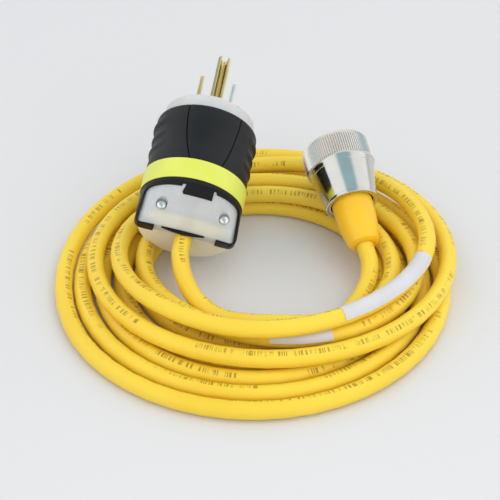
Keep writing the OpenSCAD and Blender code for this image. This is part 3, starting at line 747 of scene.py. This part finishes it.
crownLine = [(x, crownAt(x) + clamp["play"]) for x in np.linspace(-wide, wide, 31)]
carve(outer, [inner, prism(opening, window["low"], clear, "Y"),
              prism(crownLine + [(wide, clear), (-wide, clear)], rear - 3, rear),
              box(-sideBar, sideBar, -2, 9, rear - 3, rear + 0.02)])
soften(outer, 0.12, 2, 40)

# the middle bar: a lens shaped lip over the cord's mouth
lipRight, lipLeft = lip["span"]
count = lip["columns"]
share = np.linspace(-1, 1, count)
lipX = (lipLeft + lipRight) / 2 + (lipLeft - lipRight) / 2 * share
lipBack = rear - lip["thin"] - (lip["reach"] - lip["thin"]) * (1 - share ** 2)
lipInner = np.full(count, rear)
lipRows = [[(x, crownAt(x) - down, z) for x, z in zip(lipX, levels)]
           for levels, down in ((lipInner, 0.0), (lipBack, lip["round"]), (lipBack, lip["thick"]),
                                (lipInner, lip["thick"]))]
verts, faces = grid(lipRows)
faces = [face for face in faces if {face[0] % count, face[1] % count} != {0, count - 1}]
faces += [tuple(row * count + column for row in range(4)) for column in (0, count - 1)]
middleLip = makePiece("clampLip", verts, faces, plugPlace)
soften(middleLip, 0.12, 2, 40)
dress(middleLip, "frameBlack")
dress(outer, "frameBlack", ["plug_sleeve"], sharp=30)

base = makePiece("clampBase", *lathe([(0, rear), (clamp["radius"] - 2.4, rear, 0.6),
                                      (clamp["radius"] - 0.8, rear + 0.7, 0.6),
                                      (clamp["radius"], rear + 2.2, 1),
                                      (clamp["radius"], clamp["front"], 0.2),
                                      (clamp["neck"], clamp["front"]), (clamp["neck"], clamp["neckTo"]),
                                      (0, clamp["neckTo"])], 128), plugPlace)
carve(base, [box(-clamp["clear"], clamp["clear"], -0.1, clamp["clear"], -60, 0),
             rodAlong((0, 0), clamp["channel"], -47, -20)]
      + [rodAlong((x, clamp["screwZ"]), clamp["screwHole"], -12, 12, "Y") for x in clamp["screwAt"]])
soften(base, 0.15, 2, 40)
dress(base, "base", ["clamp_lower"])

seat = clamp["pocketY"] + screw["seat"]
verts, faces = lathe(list(screw["tip"]) + [(r, seat + up, *fillet) for r, up, *fillet in screw["head"]], 48)
for index, x in enumerate(clamp["screwAt"]):
    turned = np.stack([verts[:, 0] + x, verts[:, 2], clamp["screwZ"] - verts[:, 1]], 1)
    makePiece(f"clampScrew{index + 1}", turned, faces, plugPlace, "steel", "screw_steel", ["clamp_screws"])
print("clamp, frame and screws")


# plug: white nose and body with the blades in it
nose = dict(radius=17.1, rise=6.0, inner=16.7, rear=-27.9, room=14.3, roomFront=-8,
            notchTurn=112, notch=((16, -2.6), (19, -2.6), (19, 2.6), (16, 2.6)), notchDeep=1.6)
contacts = dict(apart=12.7, wide=6.35, thick=1.5, length=18.0, taper=(1.2, 1.6), bladeY=-2.2,
                slot=(0.85, 3.275), rim=(1.7, 4.1), rimDeep=0.5, rimRise=0.7, tail=-16, hole=1.5, holeUp=3.6,
                groundY=9.7, groundWide=4.75, groundLength=21.5, wall=1.15, groundTop=0.34, groundLow=0.62,
                groundTaper=2.2, sideTaper=0.9, groundSlot=(2.475, 1.715), groundRoom=0.1, groundRim=1.0)
rise, bladeY, groundY, tail = nose["rise"], contacts["bladeY"], contacts["groundY"], contacts["tail"]
groundHalf = contacts["groundWide"] / 2
bladesX = [side * contacts["apart"] / 2 for side in (-1, 1)]
body = makePiece("plugNose", *lathe([(0, nose["rear"]), (nose["inner"], nose["rear"], 0.3),
                                     (nose["inner"], 0, 0.1), (nose["radius"] - 0.3, 0.1),
                                     (nose["radius"], 0.5, 0.2), (nose["radius"], rise - 0.8, 0.6),
                                     (nose["radius"] - 0.8, rise, 0.7), (0, rise)], 128), plugPlace)


def boxAround(x, y, half, low, high):
    return box(x - half[0], x + half[0], y - half[1], y + half[1], low, high)


rimSpan = (rise - contacts["rimDeep"], rise + contacts["rimRise"])
rims = [boxAround(x, bladeY, contacts["rim"], *rimSpan) for x in bladesX]
rims.append(rodAlong((0, groundY), groundHalf + contacts["groundRim"], *rimSpan))
carve(body, rims, "UNION")
slotHalf, slotRise = contacts["groundSlot"]
slots = [rodAlong((0, 0), nose["room"], -40, nose["roomFront"])]
slots += [boxAround(x, bladeY, contacts["slot"], -20, 20) for x in bladesX]
slots.append(rodAlong((0, groundY), groundHalf + contacts["groundRoom"], -20, 20))
slots.append(box(-slotHalf, slotHalf, groundY, groundY + slotRise, -20, 20))
carve(body, slots)
turn = math.radians(nose["notchTurn"])
notch = [(math.cos(turn) * a - math.sin(turn) * b, math.sin(turn) * a + math.cos(turn) * b)
         for a, b in nose["notch"]]
carve(body, [prism(notch, rise - nose["notchDeep"], rise + 2)])
soften(body, 0.16, 2, 40)
dress(body, "white", ["plug_body"])

tip = rise + contacts["length"]
inset, down = contacts["taper"]
low, high = bladeY - contacts["wide"] / 2, bladeY + contacts["wide"] / 2
bladeOutline = [(low, tail), (low, tip - down), (low + inset, tip), (high - inset, tip), (high, tip - down),
                (high, tail)]
thin = contacts["thick"] / 2
for name, x, finish, slot, node in (("bladeHot", bladesX[1], "brass", "brass", "blade_hot"),
                                    ("bladeNeutral", bladesX[0], "bladeNickel", "nickel_blade",
                                     "blade_neutral")):
    blade = makePiece(name, *prism(bladeOutline, x - thin, x + thin, "X"), plugPlace)
    carve(blade, [rodAlong((bladeY, tail + contacts["holeUp"]), contacts["hole"], x - 2, x + 2, "X", 24)])
    soften(blade, 0.22, 3)
    dress(blade, finish, [node])

# the ground pin is a strip folded round into an open U, tapered at its tip
inside, top = groundHalf - contacts["wall"], contacts["groundWide"] * contacts["groundTop"]
outline = [(groundHalf * math.cos(a), groundHalf * math.sin(a))
           for a in np.linspace(math.pi, 2 * math.pi, 25)]
outline += [(groundHalf, top), (inside, top)]
outline += [(inside * math.cos(a), inside * math.sin(a)) for a in np.linspace(2 * math.pi, math.pi, 21)]
outline += [(-inside, top), (-groundHalf, top)]
tip = rise + contacts["groundLength"]
pin = makePiece("groundPin", *prism([(a, b + groundY) for a, b in outline], tail, tip), plugPlace)
low = groundY - contacts["groundWide"] * contacts["groundLow"]
carve(pin, [prism(diamond(low, tip, contacts["groundTaper"]), -5, 5, "X"),
            rodAlong((0, tail + contacts["holeUp"]), contacts["hole"], groundY - 5, groundY, "Y", 24)]
      + [prism(diamond(side * groundHalf, tip, contacts["sideTaper"]), 0, 20, "Y") for side in (-1, 1)])
soften(pin, 0.16, 2)
dress(pin, "brass", ["ground_pin"])
print("nose and contacts")


# connector: knurled coupling nut with an inner thread
nut = dict(radius=13.4, length=26.4, knurl=10.4, ridges=90, ridge=(0, 0.2, 0.7, 1, 0.7, 0.2), deep=0.55,
           ridgeFrom=((0.15, 0.35), (0.4, 0.75), (0.7, 1.0), (1.2, 1.0)), ridgeInset=0.4,
           ridgeTo=(1, 0.8, 0.5, 0.2, 0, 0, 0, 0, 0), turnIn=2.1, mouth=((0.75, 0), (0.6, 0.12), (0.1, 1.1)),
           shoulder=((1.3, 2.3, 0.2), (1.1, 2.1, 0.15), (0.95, 1.5), (0.92, 0.9), (0.8, 0.45),
                     (0.62, 0.15), (0.4, 0)),
           rim=10.2, rimLength=1.5, journal=8.97, neck=9.95, neckTo=7.4, recess=0.35, lip=(2.2, 4.6),
           thread=10.4, threadDeep=0.5, threadPitch=1.5875, threadRings=8, threadFrom=10.6,
           threadIn=1.6, threadOut=(24.2, 25.1))


def nutOutline():
    # (radius, height, mark): a mark above 0 is a share of the ridges' depth, below 0 is thread
    radius, length, thread, rim = nut["radius"], nut["length"], nut["thread"], nut["rim"]
    neck, journal, (lipFrom, lipTo) = nut["neck"], nut["journal"], nut["lip"]
    knurlFrom = length - nut["knurl"]
    skirt = [(journal, 0.3), (rim - 0.4, 0, 0.25), (rim, 0.35, 0.2), (rim, nut["rimLength"] - 0.35, 0.3),
             (rim - 0.35, nut["rimLength"]), (rim - 0.05, nut["rimLength"] + 1)]
    skirt += [(radius - inset, knurlFrom - down, *fillet) for inset, down, *fillet in nut["shoulder"]]
    rows = [(r, z, 0.0) for r, z in filleted(skirt)]
    rows += [(radius - nut["ridgeInset"] * (1 - share), knurlFrom + up, share)
             for up, share in nut["ridgeFrom"]]
    rows += [(radius, z, 1.0) for z in np.linspace(knurlFrom + 2, length - 3.4, 7)]
    for step, share in enumerate(nut["ridgeTo"], 1):
        lean = math.radians(10 * step)
        rows.append((radius - nut["turnIn"] * (1 - math.cos(lean)),
                     length - nut["turnIn"] * (1 - math.sin(lean)), float(share)))
    rows += [(thread + out, length - down, 0) for out, down in nut["mouth"]]
    rows += [(thread, z, -1.0)
             for z in np.arange(length - 1.35, nut["threadFrom"], -nut["threadPitch"] / nut["threadRings"])]
    return rows + [(thread, nut["threadFrom"] - 0.3, 0), (neck, nut["threadFrom"] - 0.5, 0),
                   (neck, nut["neckTo"], 0), (neck, lipTo, 0), (journal, lipTo, 0), (journal, lipFrom, 0),
                   (neck - nut["recess"], lipFrom, 0), (neck - nut["recess"], 0.9, 0)]


def nutRings():
    crest = np.tile(nut["ridge"], nut["ridges"])
    angles = np.arange(len(crest)) * 2 * math.pi / len(crest)
    made = []
    for r, z, mark in nutOutline():
        radii = np.full(len(crest), float(r))
        if mark > 0:
            radii -= nut["deep"] * mark * crest
        if mark < 0:
            # flat crests and roots with straight flanks, faded out at both ends
            phase = np.mod(z / nut["threadPitch"] + angles / (2 * math.pi), 1)
            fade = smoothStep(nut["threadFrom"], nut["threadFrom"] + nut["threadIn"], z)
            fade *= 1 - smoothStep(*nut["threadOut"], z)
            radii += nut["threadDeep"] * fade * np.clip(1.5 - np.abs(phase - 0.5) * 4, 0, 1)
        made.append(np.stack([radii * np.cos(angles), radii * np.sin(angles), np.full(len(crest), z)], 1))
    return made


makePiece("couplingNut", *grid(nutRings()), connectorPlace, "nickel", "nut_nickel", ["coupling_nut"], "nut",
          sharp=28)

boot = dict(length=18, bore=3.3, mouth=4.3, front=0.9, radius=7.75, endRadius=6.1)
bootEnd = boot["endRadius"]
makePiece("connectorBoot", *lathe([(boot["bore"], -boot["length"], 0.1),
                                   (boot["mouth"], -boot["length"], 0.5),
                                   (bootEnd - 0.4, -17.3, 0.7), (bootEnd, -16.2, 0.8),
                                   (bootEnd + 0.65, -13.5, 1.5), (bootEnd + 1.15, -9.8, 1.5),
                                   (boot["radius"] - 0.15, -5.5, 2), (boot["radius"], -1.2, 1),
                                   (boot["radius"], boot["front"]), (boot["bore"], boot["front"])], 112),
          connectorPlace, "boot", "boot_yellow", ["connector_boot"])
print("nut and boot")


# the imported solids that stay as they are
kept = dict(terminal_blocks="brass", terminal_screws="steel", plug_wire_hot="wireBlack",
            plug_wire_neutral="wireWhite", plug_wire_ground="wireGreen", indicator_board="board",
            indicator_lamp="glass", plug_jacket_end="jacket", connector_jacket_end="jacket",
            connector_wires="wireBlack", connector_core="insert", connector_gasket="rubber",
            nut_retainer="steel", socket_hot="gold", socket_neutral="gold", socket_ground="gold")
for name, finish in kept.items():
    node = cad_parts[name]
    node.data.materials.clear()
    node.data.materials.append(finishes[finish])
print("kept solids:", len(kept))


# floor, light and sky
studio = dict(floor=12.0, paperRough=0.75, lampSize=1.0, lampTint=(1, 0.99, 0.97), sky=1.12,
              ceiling=(0.62, 0.61, 0.62), blueGrey=(0.36, 0.52, 0.58), warmWhite=(1.0, 1.0, 0.98))
reach = studio["floor"]
floorMesh = bpy.data.meshes.new("floor")
floorMesh.from_pydata([(-reach, -reach, 0), (reach, -reach, 0), (reach, reach, 0), (-reach, reach, 0)], [],
                      [(0, 1, 2, 3)])
floor = bpy.data.objects.new("floor", floorMesh)
bpy.context.scene.collection.objects.link(floor)
paper = Finish("paper", Specular_IOR_Level=0.1)
paper.colour(paper.mix(rgb(0.725, 0.695, 0.70), rgb(0.74, 0.71, 0.715), paper.spread(paper.noise(3, 2))))
paper.rough(studio["paperRough"])
floorMesh.materials.append(paper.material)


def softLight(name, at, power):
    # a wide lamp that faces the middle of the floor and shows in no mirror
    data = bpy.data.lights.new(name, "AREA")
    data.energy, data.size, data.color = power, studio["lampSize"], studio["lampTint"]
    lamp = bpy.data.objects.new(name, data)
    bpy.context.scene.collection.objects.link(lamp)
    lamp.location = at
    lamp.visible_glossy = False
    lamp.rotation_euler = (-Vector(at)).to_track_quat("-Z", "Y").to_euler()


softLight("overhead", (0.25, -0.2, 1.3), 4.0)
softLight("fromCamera", (0.5, -1.2, 1.0), 5.0)

# sky: white and blue-grey panels and a grey ceiling, laid out round the connector's own axis
world = bpy.data.worlds.new("studio")
bpy.context.scene.world = world
world.use_nodes = True
sky = Finish("studio", world.node_tree)
turnAxes = [tuple(connectorPlace.to_3x3().col[i].normalized()) for i in (0, 1)]
direction = sky.node("ShaderNodeTexCoord", out="Generated")
across, up = [sky.node("ShaderNodeVectorMath", dict(operation="DOT_PRODUCT"), {0: direction, 1: axis},
                       out="Value") for axis in turnAxes]
angle = sky.node("ShaderNodeMath", dict(operation="ARCTAN2"), {0: up, 1: across})
panels = ((-180, studio["ceiling"]), (-90, studio["ceiling"]), (-20, (0.9, 0.9, 0.9)), (30, (1.0, 1.0, 1.0)),
          (62, (0.95, 0.95, 0.94)), (73, studio["blueGrey"]), (110, studio["blueGrey"]),
          (122, (0.88, 0.90, 0.91)), (158, studio["warmWhite"]), (172, studio["warmWhite"]),
          (179.5, (0.62, 0.62, 0.62)))
skyColour = sky.node("ShaderNodeValToRGB",
                     dict(stops=[((degrees + 180) / 360, rgb(*colour)) for degrees, colour in panels]),
                     {"Fac": sky.range(angle, -math.pi, math.pi)})
background = next(n for n in world.node_tree.nodes if n.type == "BACKGROUND")
background.inputs["Strength"].default_value = studio["sky"]
sky.plug(background.inputs["Color"], skyColour)
bpy.context.scene.view_settings.view_transform = "Standard"
print("studio ready")

bpy.context.view_layer.update()
